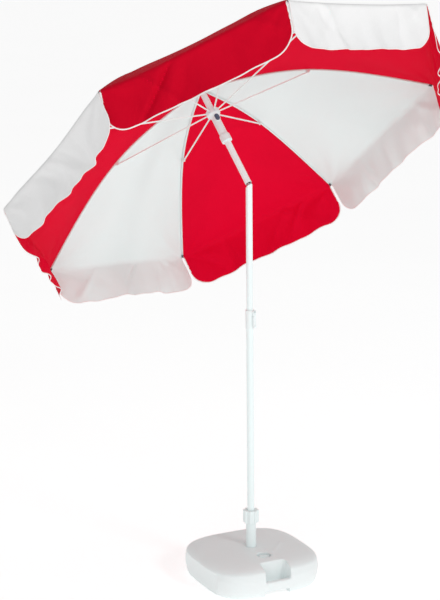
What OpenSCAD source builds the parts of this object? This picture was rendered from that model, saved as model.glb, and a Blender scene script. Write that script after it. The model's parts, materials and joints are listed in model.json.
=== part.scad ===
// Beach umbrella standing open and tilted in a water-filled base.
// Millimetres, +Z up, origin at the middle of the base's underside, on the pole's axis.
// The base's carrying handle faces -Y.

/* [Base] */
// Width of the rounded-square tank across its flats
base_side = 472; // [390:1:570]
// Height of the tank at the pole
base_h = 128; // [112:1:160]
// Height of the tank's widest line
base_mid = 74; // [66:1:84]
// Squareness of the tank seen from above, 2 is a circle
base_square = 3.3; // [2.6:0.1:6]
// Wall of the tank
base_wall = 4; // [3:0.1:6]
// Width of the carrying handle's opening
grip_w = 108; // [90:1:130]
// Depth of the carrying handle's opening from the widest line
grip_deep = 60; // [48:1:72]
// Underside of the handle bar
bar_low = 20; // [16:1:28]
// Top of the handle bar
bar_high = 62; // [54:1:72]
// Thickness of the handle bar
bar_thick = 22; // [16:1:26]
// Length of each side scoop
scoop_w = 280; // [180:1:310]
// Depth of each side scoop
scoop_deep = 20; // [8:1:24]
// Top edge of the side scoops
scoop_top = 92; // [70:1:100]
// Distance of the filler from the pole's axis
fill_off = 110; // [95:1:130]
// Radius of the filler cap
fill_r = 23; // [18:0.5:28]

/* [Base tube and clamp] */
// Outer radius of the base tube
tube_r = 20; // [18:0.1:24]
// Top of the base tube
tube_top = 262; // [240:1:290]
// Radius of the clamp nut over its grip
nut_r = 27; // [25:0.5:32]
// Height of the clamp nut
nut_h = 50; // [40:1:60]
// Number of finger lobes on the clamp nut
nut_lobes = 8; // [6:1:10]

/* [Pole] */
// Outer radius of the lower pole
lower_r = 14.2; // [13.8:0.1:15]
// Wall of every pole tube
pole_wall = 1; // [0.8:0.1:1.2]
// Outer radius of the inner pole and the canopy pole
inner_r = 12.5; // [11.5:0.1:13]
// Lower edge of the height collar
collar_low = 1016; // [900:1:1060]
// Height of the height collar
collar_h = 71; // [60:1:85]
// Outer radius of the height collar
collar_r = 17; // [16.5:0.1:20]
// Direction of the height lever about the pole, from the tilt direction
lever_turn = 196; // [0:1:359]
// Lowest point of the inner pole
inner_low = 740; // [680:1:800]

/* [Tilt joint] */
// Height of the tilt pin
tilt_z = 1576; // [1450:1:1700]
// Tilt of the canopy pole from upright as it stands
tilt_rest = 41; // [10:0.5:45]
// Direction that the pole leans towards, about the vertical
turn_rest = 102; // [0:1:359]
// Radius of the tilt knuckle's rounded ends
knuckle_r = 7; // [6:0.1:7.4]
// Radius of the tilt pin
tilt_pin_r = 3; // [2.5:0.1:3.5]
// Running clearance of a pin in its moving hole
run_gap = 0.08; // [0.03:0.01:0.1]

/* [Canopy frame] */
// Distance from the tilt pin to the rib pivots, along the canopy pole
crown_s = 442.5; // [420:0.5:470]
// Distance from the tilt pin to the stretcher pivots
runner_s = 333; // [315:0.5:345]
// Radius of both wire rings that the ribs and stretchers turn on
wire_ring = 20; // [18:0.5:24]
// Radius of the wire
wire_r = 1; // [0.8:0.1:1.2]
// Radius from the pole to the rib tips
span_r = 918; // [800:1:1000]
// Drop of the rib tips below the rib pivots
tip_drop = 255; // [200:1:300]
// Radius from the pole to the rib brackets
joint_r = 455; // [420:1:500]
// Drop of the ribs at the brackets
joint_drop = 40.5; // [30:0.5:60]
// Direction of the first rib from the tilt direction
rib_turn = 163; // [0:1:359]
// Width of the rib channel
rib_w = 5.4; // [4.4:0.1:6.4]
// Height of the rib channel
rib_t = 4.4; // [3.6:0.1:5.2]
// Sheet thickness of the rib channel
rib_skin = 0.9; // [0.7:0.1:1.1]

/* [Runner] */
// Length of the runner from its lower edge to the stretcher pivots
runner_len = 134; // [110:1:160]
// Outer radius of the runner's sleeve
sleeve_r = 16; // [15:0.1:18]
// Radius of the runner's notched ring
ring_r = 27; // [25:0.5:30]
// Direction of the release button from the tilt direction
button_turn = 160; // [0:1:359]
// Radius of the release button's rounded ends
button_r = 9; // [7:0.5:10]
// Distance between the centres of those ends
button_long = 10; // [4:1:14]

/* [Canopy] */
// Thickness of the cloth
cloth = 1; // [0.6:0.1:1.6]
// Radius of the canopy's edge at the ribs
rim_r = 927; // [810:1:1010]
// Depth of the hanging valance
valance = 163; // [100:1:200]
// Corner radius of each valance flap
flap_round = 75; // [40:1:90]
// How far the canopy's edge bows inward between ribs
edge_bow = 14; // [0:1:30]
// How far the cloth sinks between ribs at the edge
cloth_sag = 10; // [0:1:25]

/* [Hidden] */
$fn = 48;
ribs = 8;
step = 360 / ribs;
eps = 0.01;
far = 1000;
base_a = base_side / 2;
nut_low = tube_top - 34;
pole_low = 14;
well_floor = 8;
collar_top = collar_low + collar_h;
lower_top = collar_low + 36;
bore_r = inner_r - pole_wall;
canopy_low = 3.5;
fork_low = 16;
crown_low = crown_s - 10.5;
crown_top = crown_s + 5.5;
pivot_top = crown_top + 2;
runner_low = runner_s - runner_len;

// ---- shared shapes ----

// Faces of a solid skin through m rings of n points, ends closed
function skin_faces(m, n) = concat(
    [[for (i = [0:n - 1]) i]],
    [for (j = [0:m - 2], i = [0:n - 1])
        [(j + 1) * n + i, (j + 1) * n + (i + 1) % n, j * n + (i + 1) % n, j * n + i]],
    [[for (i = [0:n - 1]) m * n - 1 - i]]
);

// Frames: the pole's own direction, the tilted canopy pole, one rib's plane
module pole_frame() rotate([0, 0, turn_rest]) children();
module tilt_frame() translate([0, 0, tilt_z]) pole_frame() rotate([0, tilt_rest, 0]) children();
module rib_frame(k) tilt_frame() rotate([0, 0, rib_turn + step * (k - 1)]) children();

// A coil spring along +Z: wire radius w, coil radius r, length h
module coil(r, w, h, turns) {
    per = 14;
    m = turns * per + 1;
    side = 6;
    pts = [for (j = [0:m - 1], i = [0:side - 1])
        let (a = j * 360 / per, q = i * 360 / side, d = r + w * cos(q))
        [d * cos(a), d * sin(a), w + (h - 2 * w) * j / (m - 1) + w * sin(q)]];
    polyhedron(pts, skin_faces(m, side));
}

// ---- base ----

function signed_pow(x, e) = sign(x) * pow(abs(x), e);

// One ring of the tank: half width a at height z
function tank_ring(a, z, n) = [for (i = [0:n - 1])
    let (t = 360 * i / n)
    [a * signed_pow(cos(t), 2 / base_square), a * signed_pow(sin(t), 2 / base_square), z]];

// Tank skin moved inward by g, with its flat foot at the bottom
module tank_skin(g) {
    n = 64;
    foot = 18;
    top_round = 0.42;
    top_rise = 0.62;
    low = [for (j = [0:4]) let (q = 90 * j / 4)
        [base_a - g - foot * (1 - sin(q)), g + (base_mid - g) * (1 - cos(q))]];
    top = [for (j = [1:11]) let (q = 89 * j / 11)
        [(base_a - g) * pow(cos(q), top_round), base_mid + (base_h - g - base_mid) * pow(sin(q), top_rise)]];
    prof = concat(low, top);
    pts = [for (p = prof) each tank_ring(p[0], p[1], n)];
    polyhedron(pts, skin_faces(len(prof), n));
}

module grip_box(g) {
    translate([-grip_w / 2 - g, -base_a - far / 10, -far / 10])
        cube([grip_w + 2 * g, grip_deep + far / 10 + g, base_h + far / 5]);
}

module scoop_boxes(g) {
    for (side = [-1, 1])
        translate([side * (base_a - scoop_deep / 2 - g / 2 + far / 20), 0, 0])
            cube([scoop_deep + g + far / 10, scoop_w + 2 * g, 2 * (scoop_top + g)], center = true);
}

module fill_well(g) {
    translate([0, -fill_off, base_h - 22 - g]) cylinder(r = fill_r + 5 + g, h = 60);
}

module base_tank() {
    color([0.93, 0.93, 0.93]) difference() {
        tank_skin(0);
        // opening for the hand, with the bar left across it
        difference() {
            grip_box(0);
            translate([-grip_w, -base_a - 60, bar_low])
                cube([2 * grip_w, bar_thick + 60, bar_high - bar_low]);
        }
        scoop_boxes(0);
        // cavity for the water
        difference() {
            tank_skin(base_wall);
            grip_box(base_wall);
            scoop_boxes(base_wall);
            fill_well(base_wall);
            cylinder(r = tube_r + base_wall, h = base_h + 20);
        }
        // well for the tube, and the filler's recess and neck
        translate([0, 0, well_floor]) cylinder(r = tube_r, h = base_h);
        fill_well(0);
        translate([0, -fill_off, base_h / 2]) cylinder(r = fill_r - 8, h = base_h);
    }
}

module water_ballast() {
    gap = 0.8;
    color([0.75, 0.85, 0.92, 0.6]) intersection() {
        difference() {
            tank_skin(base_wall + gap);
            grip_box(base_wall + gap);
            scoop_boxes(base_wall + gap);
            fill_well(base_wall + gap);
            cylinder(r = tube_r + base_wall + gap, h = base_h + 20);
        }
        translate([-base_side, -base_side, 0]) cube([2 * base_side, 2 * base_side, base_h - 31]);
    }
}

module base_tube() {
    color([0.93, 0.93, 0.93]) difference() {
        translate([0, 0, well_floor]) cylinder(r = tube_r, h = tube_top - well_floor);
        translate([0, 0, well_floor - 1]) cylinder(r = lower_r + 0.1, h = far);
        translate([0, 0, tube_top - 37]) cylinder(r = 17, h = far);
    }
}

module filler_cap() {
    top = base_h - 22;
    color([0.93, 0.93, 0.93]) translate([0, -fill_off, 0]) difference() {
        union() {
            translate([0, 0, top + 1.6]) cylinder(r = fill_r, h = 10);
            translate([0, 0, top - base_wall - 4]) cylinder(r = fill_r - 8 - run_gap, h = base_wall + 6);
            translate([-fill_r + 2, -3.5, top + 11]) cube([2 * fill_r - 4, 7, 6]);
        }
        translate([fill_r - 8, 0, top + 9]) cylinder(r = 2, h = 20);
        translate([0, 0, top - far + 5]) cylinder(r = fill_r - 11, h = far);
    }
}

module filler_seal() {
    color([0.2, 0.2, 0.2]) translate([0, -fill_off, base_h - 22]) difference() {
        cylinder(r = fill_r - 3, h = 1.6);
        translate([0, 0, -1]) cylinder(r = fill_r - 8, h = 4);
    }
}

module clamp_nut() {
    lobe_r = 5.5;
    color([0.93, 0.93, 0.93]) difference() {
        translate([0, 0, nut_low]) linear_extrude(height = nut_h) union() {
            circle(r = nut_r);
            for (k = [0:nut_lobes - 1])
                rotate([0, 0, (k + 0.3) * 360 / nut_lobes]) translate([nut_r - 1, 0]) circle(r = lobe_r);
        }
        translate([0, 0, nut_low - 1]) cylinder(r = tube_r + run_gap, h = nut_h - 8);
        translate([0, 0, nut_low]) cylinder(r = lower_r + 0.5, h = nut_h + 1);
    }
}

module clamp_collet() {
    low = tube_top - 37;
    color([0.85, 0.85, 0.85]) difference() {
        translate([0, 0, low]) cylinder(r = 17, h = 36);
        translate([0, 0, low - 1]) cylinder(r = lower_r + run_gap, h = far);
        for (k = [0:3])
            rotate([0, 0, k * 90 + 45]) translate([10, -1, low + 8]) cube([20, 2, far]);
    }
}

// ---- poles ----

module pole_foot() {
    color([0.3, 0.3, 0.32]) {
        translate([0, 0, well_floor]) cylinder(r = lower_r, h = pole_low - well_floor);
        translate([0, 0, well_floor]) cylinder(r = lower_r - pole_wall - run_gap, h = 36);
    }
}

module lower_pole() {
    color([0.95, 0.95, 0.95]) translate([0, 0, pole_low]) difference() {
        cylinder(r = lower_r, h = lower_top - pole_low);
        translate([0, 0, -1]) cylinder(r = lower_r - pole_wall, h = far * 2);
    }
}

module lever_frame() pole_frame() rotate([0, 0, lever_turn]) translate([21, 0, collar_top - 11]) children();

module height_collar() {
    color([0.93, 0.93, 0.93]) difference() {
        union() {
            translate([0, 0, collar_low]) cylinder(r = collar_r, h = collar_h);
            for (side = [-1, 1])
                lever_frame() translate([-11, side * 7.1 - 1.9, -10]) cube([14, 3.8, 20]);
        }
        translate([0, 0, collar_low - 1]) cylinder(r = lower_r, h = lower_top - collar_low + 1);
        translate([0, 0, collar_low]) cylinder(r = inner_r + 0.1, h = far);
        lever_frame() translate([-3.2, -5.2, -13]) cube([20, 10.4, 30]);
        lever_frame() rotate([90, 0, 0]) cylinder(r = 1.5, h = 40, center = true);
    }
}

module height_lever() {
    color([0.9, 0.9, 0.9]) lever_frame() difference() {
        union() {
            translate([0.6, 0, 0]) rotate([90, 0, 0]) cylinder(r = 3.6, h = 10, center = true);
            translate([-3, -5, -14]) cube([6.5, 10, 14]);
            translate([-3.2, -8, -52]) cube([6.4, 16, 40]);
            translate([-1, -8, -56]) cube([6.6, 16, 8]);
        }
        rotate([90, 0, 0]) cylinder(r = 1.5 + run_gap, h = 40, center = true);
        translate([-21, 0, -80]) cylinder(r = collar_r + 0.4, h = 69);
    }
}

module lever_pin() {
    color([0.7, 0.7, 0.72]) lever_frame() rotate([90, 0, 0]) cylinder(r = 1.5, h = 18, center = true);
}

module inner_pole() {
    color([0.95, 0.95, 0.95]) pole_frame() difference() {
        translate([0, 0, inner_low]) cylinder(r = inner_r, h = tilt_z + 2 - inner_low);
        translate([0, 0, inner_low - 1]) cylinder(r = bore_r, h = far * 2);
        // the top is cut back on the side that the canopy leans to
        translate([-inner_r, 0, tilt_z + 2]) rotate([0, 41.3, 0])
            translate([-50, -50, 0]) cube([100, 100, 60]);
    }
}

module inner_plug() {
    color([0.3, 0.3, 0.32]) translate([0, 0, inner_low]) {
        translate([0, 0, -8]) cylinder(r = lower_r - pole_wall - 0.1, h = 8);
        cylinder(r = bore_r, h = 30);
    }
}

// ---- tilt joint ----

module tilt_tongue() {
    color([0.45, 0.46, 0.48]) pole_frame() translate([0, 0, tilt_z]) difference() {
        union() {
            translate([0, 0, -70]) cylinder(r = bore_r, h = 46);
            translate([-knuckle_r, -4, -25]) cube([2 * knuckle_r, 8, 25]);
            rotate([90, 0, 0]) cylinder(r = knuckle_r, h = 8, center = true);
        }
        rotate([90, 0, 0]) cylinder(r = tilt_pin_r + run_gap, h = 20, center = true);
    }
}

module tilt_fork() {
    ear = 4.4;
    color([0.45, 0.46, 0.48]) tilt_frame() difference() {
        union() {
            translate([0, 0, fork_low]) cylinder(r = bore_r, h = 46);
            for (side = [-1, 1]) {
                translate([-knuckle_r, side * (4.1 + ear / 2) - ear / 2, 0])
                    cube([2 * knuckle_r, ear, fork_low + 1]);
                translate([0, side * (4.1 + ear / 2), 0]) rotate([90, 0, 0])
                    cylinder(r = knuckle_r, h = ear, center = true);
            }
        }
        rotate([90, 0, 0]) cylinder(r = tilt_pin_r, h = 40, center = true);
        translate([-5, 0, 34]) rotate([0, 90, 0]) cylinder(r = 5, h = 40);
    }
}

module tilt_pin() {
    color([0.7, 0.7, 0.72]) tilt_frame() rotate([90, 0, 0]) cylinder(r = tilt_pin_r, h = 17, center = true);
}

module tilt_button() {
    color([0.2, 0.24, 0.3]) tilt_frame() translate([3, 0, 34]) rotate([0, 90, 0]) {
        cylinder(r = 4, h = 11.3);
        translate([0, 0, 5.6]) cylinder(r = 4.9, h = 1.5);
    }
}

module tilt_spring() {
    color([0.7, 0.7, 0.72]) tilt_frame() translate([-5, 0, 34]) rotate([0, 90, 0]) coil(2.8, 0.5, 8, 4);
}

// ---- canopy pole, runner and crown ----

module canopy_pole() {
    color([0.95, 0.95, 0.95]) tilt_frame() difference() {
        translate([0, 0, canopy_low]) cylinder(r = inner_r, h = pivot_top - canopy_low);
        cylinder(r = bore_r, h = far);
        translate([0, 0, 34]) rotate([0, 90, 0]) cylinder(r = 4.1, h = 40);
    }
}

// Eight radial slots, width w, from radius r outward, between heights z1 and z2
module slots(w, r, z1, z2) {
    for (k = [1:ribs])
        rotate([0, 0, rib_turn + step * (k - 1)]) translate([r, -w / 2, z1]) cube([40, w, z2 - z1]);
}

// Groove for a wire ring at height z, open upward to height top
module wire_groove(z, top) {
    rotate_extrude() translate([wire_ring, z]) circle(r = wire_r);
    difference() {
        translate([0, 0, z]) cylinder(r = wire_ring + wire_r, h = top - z);
        translate([0, 0, z - 1]) cylinder(r = wire_ring - wire_r, h = top - z + 2);
    }
}

module wire_ring_at(z) {
    color([0.7, 0.7, 0.72]) tilt_frame() rotate_extrude() translate([wire_ring, z]) circle(r = wire_r);
}

// A peg with rounded ends, long along the pole
module peg(r, h) {
    for (end = [-1, 1])
        translate([end * button_long / 2, 0, 0]) cylinder(r = r, h = h);
    translate([-button_long / 2, -r, 0]) cube([button_long, 2 * r, h]);
}

module runner() {
    ring_low = runner_s - 10;
    ring_top = runner_s + 8;
    color([0.94, 0.94, 0.94]) tilt_frame() difference() {
        union() {
            translate([0, 0, runner_low]) cylinder(r = sleeve_r, h = ring_top - runner_low);
            translate([0, 0, runner_low]) cylinder(r = sleeve_r + 4.5, h = 26);
            translate([0, 0, runner_low + 26]) cylinder(r1 = sleeve_r + 4.5, r2 = sleeve_r, h = 8);
            translate([0, 0, ring_low - 14]) cylinder(r1 = sleeve_r, r2 = ring_r, h = 14);
            translate([0, 0, ring_low]) cylinder(r = ring_r, h = ring_top - ring_low);
            rotate([0, 0, button_turn]) translate([0, 0, runner_s - 32]) rotate([0, 90, 0])
                peg(button_r + 2, 21);
        }
        translate([0, 0, runner_low - 1]) cylinder(r = inner_r + 0.1, h = far);
        slots(3.2, wire_ring - 5.5, runner_s - 5.5, ring_top + 1);
        wire_groove(runner_s, ring_top + 1);
        rotate([0, 0, button_turn]) translate([0, 0, runner_s - 32]) rotate([0, 90, 0]) {
            translate([0, 0, 14.3]) peg(button_r + 0.1, 20);
            translate([0, 0, 12]) cylinder(r = 4.1, h = 20);
        }
    }
}

module runner_button() {
    color([0.13, 0.19, 0.27]) tilt_frame() rotate([0, 0, button_turn]) translate([0, 0, runner_s - 32])
        rotate([0, 90, 0])
        difference() {
            union() {
                translate([0, 0, 18.2]) peg(button_r, 3.8);
                translate([0, 0, 22]) peg(button_r - 1.4, 1.8);
            }
            translate([0, 0, 17]) cylinder(r = 6.4, h = 3);
        }
}

module runner_spring() {
    color([0.7, 0.7, 0.72]) tilt_frame() rotate([0, 0, button_turn]) translate([0, 0, runner_s - 32])
        rotate([0, 90, 0])
        translate([0, 0, 14.3]) coil(5.4, 0.6, 5.7, 3);
}

module runner_wire() wire_ring_at(runner_s);

module crown() {
    color([0.94, 0.94, 0.94]) tilt_frame() difference() {
        translate([0, 0, crown_low]) cylinder(r = 25, h = crown_top - crown_low);
        cylinder(r = inner_r, h = far);
        slots(3.2, wire_ring - 5.5, crown_low - 1, crown_s + 3.6);
        wire_groove(crown_s, crown_top + 1);
    }
}

module crown_wire() wire_ring_at(crown_s);

module finial() {
    color([0.94, 0.94, 0.94]) tilt_frame() {
        translate([0, 0, pivot_top - 22]) cylinder(r = bore_r, h = 22);
        translate([0, 0, pivot_top]) cylinder(r = 22, h = 2);
        translate([0, 0, pivot_top + 2]) cylinder(r1 = 14, r2 = 11, h = 12);
        intersection() {
            translate([0, 0, pivot_top + 14]) cylinder(r = 11, h = 12);
            translate([0, 0, pivot_top + 14]) sphere(r = 11);
        }
    }
}

// ---- ribs and stretchers ----

// Rib as an elastic strip held at the crown and at the bracket, pulled down at its tip:
// bending grows evenly to bend0 at the bracket and fades evenly to nothing at the tip
arm = joint_r - wire_ring;
reach = span_r - joint_r;
bend0 = (tip_drop - joint_drop - joint_drop * reach / arm) / (reach * (arm + reach) / 3);
slope0 = joint_drop / arm - bend0 * arm / 6;
slope1 = slope0 + bend0 * arm / 2;

function rib_s(r) = let (x = r - wire_ring, y = r - joint_r)
    crown_s - (y < 0 ? slope0 * x + bend0 * x * x * x / (6 * arm)
        : joint_drop + slope1 * y + bend0 * (y * y / 2 - y * y * y / (6 * reach)));

function rib_lean(r) = let (x = r - wire_ring, y = r - joint_r)
    atan(y < 0 ? slope0 + bend0 * x * x / (2 * arm) : slope1 + bend0 * (y - y * y / (2 * reach)));

// U section of the rib, open below, walked round once
function rib_section() = let (w = rib_w / 2, t = rib_t / 2, c = rib_skin)
    [[-w, -t], [-w + c, -t], [-w + c, t - c], [w - c, t - c], [w - c, -t], [w, -t], [w, t], [-w, t]];

// Skin of the U section: closed at both ends by the two legs and the web
function rib_faces(m) = let (q = [[0, 1, 2, 7], [7, 2, 3, 6], [3, 4, 5, 6]], e = (m - 1) * 8) concat(
    q,
    [for (j = [0:m - 2], i = [0:7])
        [(j + 1) * 8 + i, (j + 1) * 8 + (i + 1) % 8, j * 8 + (i + 1) % 8, j * 8 + i]],
    [for (f = q) [for (i = [3:-1:0]) e + f[i]]]
);

function rib_stations() = concat(
    [for (j = [0:10]) 29 + (joint_r - 39) * j / 10],
    [for (j = [0:10]) joint_r + 10 + (reach - 10) * j / 10]
);

function along_rib(r, y, z) = [r + z * sin(rib_lean(r)), y, rib_s(r) + z * cos(rib_lean(r))];

module rib(k) {
    sec = rib_section();
    st = rib_stations();
    color([0.92, 0.9, 0.88]) rib_frame(k) {
        polyhedron([for (r = st, p = sec) along_rib(r, p[0], p[1])], rib_faces(len(st)));
        difference() {
            union() {
                translate([wire_ring, 0, crown_s]) rotate([90, 0, 0])
                    cylinder(r = 3.2, h = 2.4, center = true);
                translate([wire_ring, -1.2, crown_s - 1.6]) cube([16, 2.4, 3.4]);
            }
            translate([wire_ring, 0, crown_s]) rotate([90, 0, 0])
                cylinder(r = wire_r + 0.12, h = 8, center = true);
        }
    }
}

// Bracket pin: below the rib, square to it
pin_off = 9;
pin_x = joint_r - pin_off * sin(rib_lean(joint_r));
pin_z = rib_s(joint_r) - pin_off * cos(rib_lean(joint_r));
rise = atan((pin_z - runner_s) / (pin_x - wire_ring));
strut = norm([pin_x - wire_ring, pin_z - runner_s]);

module fitting(k) {
    color([0.3, 0.31, 0.33]) rib_frame(k) {
        translate([joint_r, 0, rib_s(joint_r)]) rotate([0, rib_lean(joint_r), 0]) {
            for (side = [-1, 1]) {
                translate([-9, side * (rib_w / 2 + 1) - 1, -5]) cube([18, 2, 4 + rib_t / 2]);
                translate([-4.5, side * (rib_w / 2 + 1) - 1, -pin_off]) cube([9, 2, 6]);
                translate([0, side * (rib_w / 2 + 1), -pin_off]) rotate([90, 0, 0])
                    cylinder(r = 4.5, h = 2, center = true);
            }
            translate([6, -rib_w / 2 - 1, -rib_t / 2 - 1.7]) cube([3, rib_w + 2, 1.5]);
            translate([-9, -rib_w / 2 - 1, -rib_t / 2 - 1.7]) cube([3, rib_w + 2, 1.5]);
            translate([0, 0, -pin_off]) rotate([90, 0, 0]) cylinder(r = 1.5, h = rib_w + 4, center = true);
        }
        translate([span_r, 0, rib_s(span_r)]) rotate([0, rib_lean(span_r) + 90, 0]) difference() {
            translate([1.6, 0, -9]) cylinder(r = 3.8, h = 12);
            translate([-rib_t / 2, -rib_w / 2, -20]) cube([rib_t, rib_w, 20]);
        }
    }
}

module stretcher(k) {
    w = 4.4;
    t = 4;
    c = 0.8;
    color([0.92, 0.9, 0.88]) rib_frame(k) translate([wire_ring, 0, runner_s]) rotate([0, -rise, 0]) {
        translate([10, 0, 0]) rotate([90, 0, 90]) linear_extrude(height = strut - 18)
            polygon([[-w / 2, -t / 2], [-w / 2, t / 2], [w / 2, t / 2], [w / 2, -t / 2], [w / 2 - c, -t / 2],
                [w / 2 - c, t / 2 - c], [c - w / 2, t / 2 - c], [c - w / 2, -t / 2]]);
        difference() {
            union() {
                rotate([90, 0, 0]) cylinder(r = 3.2, h = 2.4, center = true);
                translate([0, -1.2, -1.6]) cube([16, 2.4, 3]);
            }
            rotate([90, 0, 0]) cylinder(r = wire_r + 0.12, h = 8, center = true);
        }
        difference() {
            union() {
                translate([strut, 0, 0]) rotate([90, 0, 0]) cylinder(r = 4.4, h = 2.4, center = true);
                translate([strut - 15, -1.2, -1.8]) cube([15, 2.4, 3.6]);
            }
            translate([strut, 0, 0]) rotate([90, 0, 0]) cylinder(r = 2.7, h = 8, center = true);
        }
    }
}

// ---- canopy ----

// Downward pull in the canopy's own frame, and the way a flap hangs between ribs k and k + 1:
// along the pole on the low side, more and more towards the ground on the high side
down = [sin(tilt_rest), 0, -cos(tilt_rest)];
function flap_lift(k) = max(0, -sin(tilt_rest) * cos(rib_turn + step * (k - 0.5)));
function flap_way(k) = let (w = flap_lift(k), d = (1 - w) * [0, 0, -1] + w * down) d / norm(d);

// The same direction seen from rib k's plane
function turned(p, a) = [p[0] * cos(a) + p[1] * sin(a), p[1] * cos(a) - p[0] * sin(a), p[2]];

// Underside of the roof over the middle of a rib
function roof_s(r) = let (over = rib_t / 2 / cos(rib_lean(min(r, span_r))) + 1.2, slip = max(0, r - 28) / 2)
    max((r > span_r ? rib_s(span_r) - (r - span_r) * tan(rib_lean(span_r)) : rib_s(max(r, 30))) + over,
        crown_top + 0.1 - slip);

// Point of the roof's underside: r along the ribs, v from rib k to rib k + 1
function roof(r, v) = let (
        a = step * v, bow = 4 * v * (1 - v), t = (r - 14) / (rim_r - 14),
        e = r - edge_bow * bow * t * t,
        d = e * cos(step / 2) / cos(a - step / 2))
    [d * cos(a), d * sin(a), roof_s(e) - cloth_sag * bow * t];

// Depth of a flap at v: rounded corners, slightly shallower in the middle
function flap_deep(v) = let (
        side = min(v, 1 - v) * 2 * rim_r * sin(step / 2), q = max(0, 1 - side / flap_round))
    (valance - 4 * sin(180 * v)) - flap_round * (1 - sqrt(max(0, 1 - q * q)));

function grid_v(n) = [for (i = [0:n]) (1 - cos(180 * i / n)) / 2];

// Keeps a point at least g off the two rib planes
function clear_of(p, g) = let (
        y = max(p[1], g),
        over = g - (p[0] * sin(step) - y * cos(step)),
        m = max(0, over))
    [p[0] + m * sin(step), y - m * cos(step), p[2]];

module panel(k) {
    vs = grid_v(10);
    n = len(vs);
    rows = [14.4, 27, 45, 90, 160, 230, 300, 360, 415, 470, 530, 590, 650, 710, 770, 830, 880, rim_r];
    flap_rows = [0.2, 0.45, 0.7, 0.88, 1];
    way = turned(flap_way(k), rib_turn + step * (k - 1));
    out = [cos(step / 2), sin(step / 2), 0];
    low = concat(
        [for (r = rows, v = vs) clear_of(roof(r, v), 0.1)],
        [for (f = flap_rows, v = vs) clear_of(roof(rim_r, v) + way * (f * flap_deep(v)), 4.6)]);
    high = concat(
        [for (r = rows, v = vs)
            clear_of(roof(r, v) + (r == rim_r ? out * cloth : [0, 0, 0]) + [0, 0, cloth * 1.1], 0.1)],
        [for (f = flap_rows, v = vs) clear_of(roof(rim_r, v) + out * cloth + way * (f * flap_deep(v)), 4.6)]);
    m = len(rows) + len(flap_rows);
    c = m * n;
    quads = [for (j = [0:m - 2], i = [0:n - 2])
        [j * n + i, j * n + i + 1, (j + 1) * n + i + 1, (j + 1) * n + i]];
    edge = concat([for (i = [0:n - 2]) i], [for (j = [0:m - 2]) j * n + n - 1],
        [for (i = [0:n - 2]) m * n - 1 - i], [for (j = [0:m - 2]) (m - 1 - j) * n]);
    faces = concat(
        [for (q = quads) each [[q[0], q[2], q[1]], [q[0], q[3], q[2]]]],
        [for (q = quads) each [[c + q[0], c + q[1], c + q[2]], [c + q[0], c + q[2], c + q[3]]]],
        [for (i = [0:len(edge) - 1]) let (a = edge[i], b = edge[(i + 1) % len(edge)])
            each [[a, b, c + b], [a, c + b, c + a]]]);
    color(k % 2 == 0 ? [0.78, 0.05, 0.12] : [0.93, 0.93, 0.93])
        rib_frame(k) polyhedron(concat(low, high), faces);
}

module rib_1() rib(1);
module rib_2() rib(2);
module rib_3() rib(3);
module rib_4() rib(4);
module rib_5() rib(5);
module rib_6() rib(6);
module rib_7() rib(7);
module rib_8() rib(8);
module stretcher_1() stretcher(1);
module stretcher_2() stretcher(2);
module stretcher_3() stretcher(3);
module stretcher_4() stretcher(4);
module stretcher_5() stretcher(5);
module stretcher_6() stretcher(6);
module stretcher_7() stretcher(7);
module stretcher_8() stretcher(8);
module fitting_1() fitting(1);
module fitting_2() fitting(2);
module fitting_3() fitting(3);
module fitting_4() fitting(4);
module fitting_5() fitting(5);
module fitting_6() fitting(6);
module fitting_7() fitting(7);
module fitting_8() fitting(8);
module panel_1() panel(1);
module panel_2() panel(2);
module panel_3() panel(3);
module panel_4() panel(4);
module panel_5() panel(5);
module panel_6() panel(6);
module panel_7() panel(7);
module panel_8() panel(8);

base_tank();
water_ballast();
base_tube();
filler_cap();
filler_seal();
clamp_nut();
clamp_collet();
pole_foot();
lower_pole();
height_collar();
height_lever();
lever_pin();
inner_pole();
inner_plug();
tilt_tongue();
tilt_fork();
tilt_pin();
tilt_button();
tilt_spring();
canopy_pole();
runner();
runner_button();
runner_spring();
runner_wire();
crown();
crown_wire();
finial();
rib_1();
rib_2();
rib_3();
rib_4();
rib_5();
rib_6();
rib_7();
rib_8();
stretcher_1();
stretcher_2();
stretcher_3();
stretcher_4();
stretcher_5();
stretcher_6();
stretcher_7();
stretcher_8();
fitting_1();
fitting_2();
fitting_3();
fitting_4();
fitting_5();
fitting_6();
fitting_7();
fitting_8();
panel_1();
panel_2();
panel_3();
panel_4();
panel_5();
panel_6();
panel_7();
panel_8();
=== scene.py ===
import json
import math

import bpy
import numpy as np
from mathutils import Euler, Matrix, Vector


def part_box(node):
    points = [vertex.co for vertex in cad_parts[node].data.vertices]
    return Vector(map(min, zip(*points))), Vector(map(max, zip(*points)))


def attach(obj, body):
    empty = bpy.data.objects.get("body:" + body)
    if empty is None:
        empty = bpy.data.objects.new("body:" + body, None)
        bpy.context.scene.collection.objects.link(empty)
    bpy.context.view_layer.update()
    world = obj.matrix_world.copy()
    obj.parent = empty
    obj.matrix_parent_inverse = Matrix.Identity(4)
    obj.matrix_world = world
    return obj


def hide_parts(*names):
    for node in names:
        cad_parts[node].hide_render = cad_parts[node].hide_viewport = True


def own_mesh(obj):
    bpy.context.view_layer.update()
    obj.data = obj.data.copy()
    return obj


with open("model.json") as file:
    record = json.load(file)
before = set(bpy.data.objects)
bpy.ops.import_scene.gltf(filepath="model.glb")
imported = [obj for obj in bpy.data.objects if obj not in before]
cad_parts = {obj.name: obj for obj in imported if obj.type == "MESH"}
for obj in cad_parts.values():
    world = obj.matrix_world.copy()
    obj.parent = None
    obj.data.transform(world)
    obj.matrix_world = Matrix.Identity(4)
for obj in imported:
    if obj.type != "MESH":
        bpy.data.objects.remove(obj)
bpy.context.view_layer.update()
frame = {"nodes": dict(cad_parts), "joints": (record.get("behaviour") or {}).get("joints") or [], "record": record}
nodes = frame["nodes"]
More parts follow.
